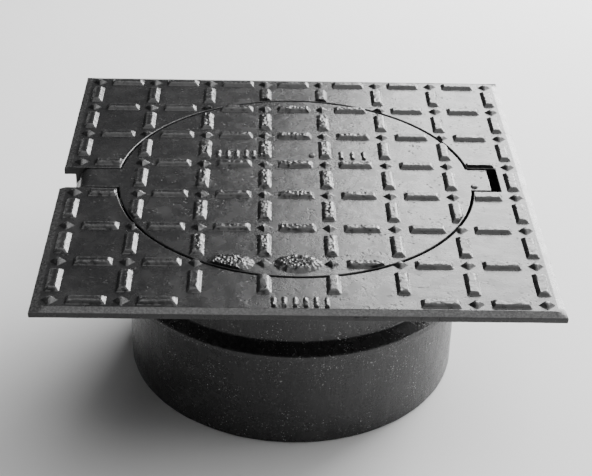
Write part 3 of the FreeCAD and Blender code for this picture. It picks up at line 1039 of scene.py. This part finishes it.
@dataclass(frozen=True)
class IronFinish:
    """Painted cast iron."""

    name: str
    paint: Triple = (0.012, 0.012, 0.0125)
    dust: Triple = (0.034, 0.034, 0.034)
    bare: Triple = (0.15, 0.15, 0.15)
    roughness: float = 0.26
    grain: float = 0.42
    pits: float = 0.6
    swell: float = 0.5
    scuff: float = 0.5


@dataclass(frozen=True)
class SteelFinish:
    """Turned or plated steel."""

    name: str
    metal: Triple
    stain: Triple
    roughness: float
    stained: float


@dataclass(frozen=True)
class RubberFinish:
    """Moulded rubber."""

    name: str
    base: Triple = (0.018, 0.018, 0.018)
    dust: Triple = (0.12, 0.12, 0.115)
    roughness: float = 0.72


class Finishes:
    """Makes the materials of the cover over shared node groups."""

    def __init__(self) -> None:
        """Make the groups that the materials share."""
        self.grain = grain_group()
        self.scuff = scuff_group()
        self.streaks_and_glints = streak_and_glint_group()

    def start(self, name: str) -> tuple[bpy.types.Material, Graph, bpy.types.Node, bpy.types.NodeSocket]:
        """Make a material with a shader and its output.

        Args:
            name: its name.

        Returns:
            The material, its graph, its shader and the object's own coordinates.
        """
        material = bpy.data.materials.new(name)
        material.use_nodes = True
        graph = Graph(material.node_tree)
        shader = graph.node("ShaderNodeBsdfPrincipled")
        output = graph.node("ShaderNodeOutputMaterial")
        graph.feed(output.inputs["Surface"], shader.outputs["BSDF"])
        place = graph.node("ShaderNodeTexCoord").outputs["Object"]
        return material, graph, shader, place

    def group(self, graph: Graph, tree: bpy.types.NodeTree, **inputs: object) -> bpy.types.Node:
        """Use a shared group in a material."""
        node = graph.node("ShaderNodeGroup", node_tree=tree)
        for name, value in inputs.items():
            graph.feed(node.inputs[name], value)
        return node

    def iron(self, finish: IronFinish) -> bpy.types.Material:
        """Painted cast iron with sand grain, thin paint on edges, streak lines down the skirt and painted
        glints: bright grey flecks on the skirt that stand in for highlights.
        """
        material, graph, shader, place = self.start(finish.name)
        amounts = {"Grain": finish.grain, "Pits": finish.pits, "Swell": finish.swell}
        grain = self.group(graph, self.grain, Vector=place, **amounts)
        scuff = self.group(graph, self.scuff, Vector=place, Amount=finish.scuff)
        streaks_and_glints = self.group(graph, self.streaks_and_glints, Vector=place)
        dusty = graph.ramp(graph.noise(place, 26.0, 5.0, 0.65), 0.45, 0.75, 0.0, 0.7)
        colour = graph.mix(dusty, (*finish.paint, 1.0), (*finish.dust, 1.0))
        run_down = graph.math("MULTIPLY", streaks_and_glints.outputs["Mask"], 0.55)
        colour = graph.mix(run_down, colour, (*finish.dust, 1.0))
        colour = graph.mix(scuff.outputs["Mask"], colour, (*finish.bare, 1.0))
        # painted glints: bright grey flecks mixed into the colour stand in for highlights on the skirt
        colour = graph.mix(streaks_and_glints.outputs["Painted glints"], colour, (0.45, 0.45, 0.45, 1.0))
        graph.feed(shader.inputs["Base Color"], colour)
        glossiest, dullest = finish.roughness - 0.03, finish.roughness + 0.04
        patchy = graph.ramp(graph.noise(place, 70.0, 4.0), 0.3, 0.7, glossiest, dullest)
        rough = graph.math("ADD", patchy, graph.math("MULTIPLY", grain.outputs["Pit mask"], 0.25))
        graph.feed(shader.inputs["Roughness"], rough)
        bump = graph.node("ShaderNodeBump")
        lines = graph.math("MULTIPLY", streaks_and_glints.outputs["Mask"], 0.8)
        graph.feed(bump.inputs["Height"], graph.math("ADD", grain.outputs["Height"], lines))
        graph.feed(bump.inputs["Strength"], 0.75)
        graph.feed(bump.inputs["Distance"], 0.00022)
        graph.feed(shader.inputs["Normal"], bump.outputs["Normal"])
        graph.feed(shader.inputs["Specular IOR Level"], 0.46)
        return material

    def steel(self, finish: SteelFinish) -> bpy.types.Material:
        """Steel with fine turning marks and patches of tarnish."""
        material, graph, shader, place = self.start(finish.name)
        stretch = graph.node("ShaderNodeMapping")
        graph.feed(stretch.inputs["Vector"], place)
        graph.feed(stretch.inputs["Scale"], (1.0, 9.0, 1.0))
        marks = graph.noise(stretch.outputs["Vector"], 900.0, 3.0)
        stain = graph.ramp(graph.noise(place, 190.0, 5.0, 0.65), 0.5, 0.72, 0.0, finish.stained)
        colour = graph.mix(stain, (*finish.metal, 1.0), (*finish.stain, 1.0))
        graph.feed(shader.inputs["Base Color"], colour)
        tarnish = graph.math("MULTIPLY", stain, 0.8)
        graph.feed(shader.inputs["Metallic"], graph.math("SUBTRACT", 1.0, tarnish))
        graph.feed(shader.inputs["Roughness"], graph.ramp(stain, 0.0, 1.0, finish.roughness, 0.75))
        bump = graph.node("ShaderNodeBump")
        graph.feed(bump.inputs["Height"], marks)
        graph.feed(bump.inputs["Strength"], 0.35)
        graph.feed(bump.inputs["Distance"], 0.00005)
        graph.feed(shader.inputs["Normal"], bump.outputs["Normal"])
        return material

    def rubber(self, finish: RubberFinish) -> bpy.types.Material:
        """Matt rubber with a moulded skin and pale dust."""
        material, graph, shader, place = self.start(finish.name)
        grain = self.group(graph, self.grain, Vector=place, Grain=0.3, Pits=0.2, Swell=0.1)
        dust = graph.ramp(graph.noise(place, 85.0, 4.0), 0.5, 0.8, 0.0, 0.35)
        colour = graph.mix(dust, (*finish.base, 1.0), (*finish.dust, 1.0))
        graph.feed(shader.inputs["Base Color"], colour)
        graph.feed(shader.inputs["Roughness"], graph.ramp(dust, 0.0, 1.0, finish.roughness, 0.9))
        bump = graph.node("ShaderNodeBump")
        graph.feed(bump.inputs["Height"], grain.outputs["Height"])
        graph.feed(bump.inputs["Strength"], 0.3)
        graph.feed(bump.inputs["Distance"], 0.0001)
        graph.feed(shader.inputs["Normal"], bump.outputs["Normal"])
        return material


# ------------------------------------------------------------------ stage

@dataclass(frozen=True)
class Softbox:
    """An area light: where it stands, where it looks, its size in metres and its power in watts."""

    name: str
    place: Triple
    aim: Triple
    width: float
    height: float
    power: float


@dataclass
class Studio:
    """Plain pale floor, even background, soft lights and the camera."""

    floor_side: float = 14.0
    floor_drop: float = 0.0003
    floor_tone: float = 0.8
    ambient: float = 0.045
    backdrop: float = 1.0
    lights: tuple[Softbox, ...] = (
        Softbox("key_behind", (0.84, 1.35, 1.0), (0.1, 0.0, 0.17), 1.5, 0.95, 66.0),
        Softbox("low_right", (1.35, 1.6, 0.55), (0.0, 0.0, 0.17), 1.3, 0.65, 46.0),
        Softbox("overhead", (0.3, -0.25, 2.5), (0.0, -0.1, 0.17), 2.6, 2.6, 50.0),
        Softbox("high_right", (2.1, 0.45, 2.0), (0.0, 0.0, 0.17), 1.7, 1.5, 42.0),
        Softbox("skirt_right", (1.45, -0.2, 0.19), (0.0, 0.0, 0.1), 0.7, 0.24, 8.0),
        Softbox("fill_back", (-2.2, 0.5, 0.7), (0.0, 0.0, 0.12), 1.0, 0.9, 4.0),
    )

    def build(self) -> None:
        """Make the whole stage."""
        self.add_world()
        self.add_floor()
        for softbox in self.lights:
            self.add_light(softbox)
        self.add_camera()

    def add_world(self) -> None:
        """Make a pale backdrop for the camera, and a weak even light for the object."""
        world = bpy.data.worlds.new("studio")
        bpy.context.scene.world = world
        world.use_nodes = True
        graph = Graph(world.node_tree)
        path = graph.node("ShaderNodeLightPath")
        seen, lit = graph.node("ShaderNodeBackground"), graph.node("ShaderNodeBackground")
        graph.feed(seen.inputs["Color"], (1.0, 1.0, 1.0, 1.0))
        graph.feed(seen.inputs["Strength"], self.backdrop)
        graph.feed(lit.inputs["Color"], (1.0, 1.0, 1.0, 1.0))
        graph.feed(lit.inputs["Strength"], self.ambient)
        either = graph.node("ShaderNodeMixShader")
        graph.feed(either.inputs[0], path.outputs["Is Camera Ray"])
        graph.feed(either.inputs[1], lit.outputs[0])
        graph.feed(either.inputs[2], seen.outputs[0])
        graph.feed(graph.node("ShaderNodeOutputWorld").inputs["Surface"], either.outputs[0])

    def add_floor(self) -> None:
        """Lay a plain pale floor just under the skirt's foot."""
        half = self.floor_side / 2
        mesh = bpy.data.meshes.new("floor")
        corners = [(-half, -half, 0), (half, -half, 0), (half, half, 0), (-half, half, 0)]
        mesh.from_pydata(corners, [], [(0, 1, 2, 3)])
        floor = bpy.data.objects.new("floor", mesh)
        floor.location.z = -self.floor_drop
        bpy.context.scene.collection.objects.link(floor)
        mesh.materials.append(self.floor_material())
        floor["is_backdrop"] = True

    def floor_material(self) -> bpy.types.Material:
        """Plain pale matt floor."""
        material = bpy.data.materials.new("pale_floor")
        material.use_nodes = True
        graph = Graph(material.node_tree)
        matt = graph.node("ShaderNodeBsdfDiffuse")
        tone = self.floor_tone
        graph.feed(matt.inputs["Color"], (tone, tone, tone, 1.0))
        graph.feed(graph.node("ShaderNodeOutputMaterial").inputs["Surface"], matt.outputs[0])
        return material

    def add_light(self, softbox: Softbox) -> bpy.types.Object:
        """Place one area light."""
        data = bpy.data.lights.new(softbox.name, "AREA")
        data.shape = "RECTANGLE"
        data.size, data.size_y = softbox.width, softbox.height
        data.energy = softbox.power
        lamp = bpy.data.objects.new(softbox.name, data)
        lamp.location = softbox.place
        towards = Vector(softbox.aim) - Vector(softbox.place)
        lamp.rotation_euler = towards.to_track_quat("-Z", "Y").to_euler()
        bpy.context.scene.collection.objects.link(lamp)
        lamp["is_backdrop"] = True
        return lamp

    def add_camera(self) -> None:
        """Place the camera in front of the cover, looking down at it."""
        data = bpy.data.cameras.new("camera")
        data.sensor_width = 36.0
        data.lens = 85.587
        camera = bpy.data.objects.new("camera", data)
        camera.location = (-0.02985, -1.05161, 0.76558)
        camera.rotation_euler = [math.radians(a) for a in (58.106, -1.373, -0.868)]
        bpy.context.scene.collection.objects.link(camera)
        bpy.context.scene.camera = camera
        camera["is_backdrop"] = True


# ------------------------------------------------------------------ assembly

@dataclass(frozen=True)
class KeptNode:
    """A CAD node that keeps its shape and gets a finish."""

    node: str
    slot: str
    finish: str


class Cover:
    """The hinged cover: two remodelled castings and the finished CAD hardware."""

    kept: tuple[KeptNode, ...] = (
        KeptNode("seat_gasket", "gasket_rubber", "rubber"),
        KeptNode("hinge_pin", "pin_steel", "turned"),
        KeptNode("hinge_washer_front", "fastener_steel", "plated"),
        KeptNode("hinge_washer_back", "fastener_steel", "plated"),
        KeptNode("split_pin_front", "fastener_steel", "plated"),
        KeptNode("split_pin_back", "fastener_steel", "plated"),
    )

    def __init__(self) -> None:
        """Make the finishes."""
        made = Finishes()
        self.materials = {
            "frame": made.iron(IronFinish("frame_iron_paint")),
            "lid": made.iron(IronFinish("lid_iron_paint", grain=0.5, pits=0.9)),
            "rubber": made.rubber(RubberFinish("seat_rubber")),
            "turned": made.steel(SteelFinish(
                "turned_steel", (0.55, 0.54, 0.52), (0.11, 0.06, 0.035), 0.34, 0.6)),
            "plated": made.steel(SteelFinish(
                "plated_steel", (0.62, 0.61, 0.58), (0.35, 0.33, 0.3), 0.42, 0.5)),
        }

    def build(self) -> None:
        """Make the castings, hang each on its body and finish the CAD nodes."""
        self.mount(FrameCasting().build(), "frame_body", "frame")
        self.mount(LidCasting().build(), "lid_body", "lid")
        for item in self.kept:
            self.dress(item)

    def mount(self, piece: bpy.types.Object, body: str, node: str) -> None:
        """Put a remodelled casting in the place of its CAD node.

        Args:
            piece: the casting.
            body: CAD body that it moves with.
            node: CAD node that it stands for, which also names its finish.
        """
        piece.data.materials.append(self.materials[node])
        even = piece.modifiers.new("even_normals", "WEIGHTED_NORMAL")
        even.keep_sharp = True
        even.weight = 100
        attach(piece, body)
        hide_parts(node)
        LOG.info("%s rides %s: %d faces", piece.name, body, len(piece.data.polygons))

    def dress(self, item: KeptNode) -> None:
        """Give a CAD node its finish."""
        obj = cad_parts[item.node]
        obj.data.materials.clear()
        obj.data.materials.append(self.materials[item.finish])
        LOG.info("%s keeps its CAD shape, with %s", item.node, item.finish)


def write_size() -> None:
    """Gather the CAD model's box and the visual model's box side by side; nothing is written out."""
    boxes = {"cad": CAD_BOX, "visual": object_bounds()}
    plain = {name: [list(corner) for corner in box] for name, box in boxes.items()}


def main() -> None:
    """Build the cover and its stage."""
    logging.basicConfig(level=logging.INFO, format="%(message)s")
    Cover().build()
    Studio().build()
    bpy.context.view_layer.update()
    write_size()


if __name__ == "__main__":
    main()
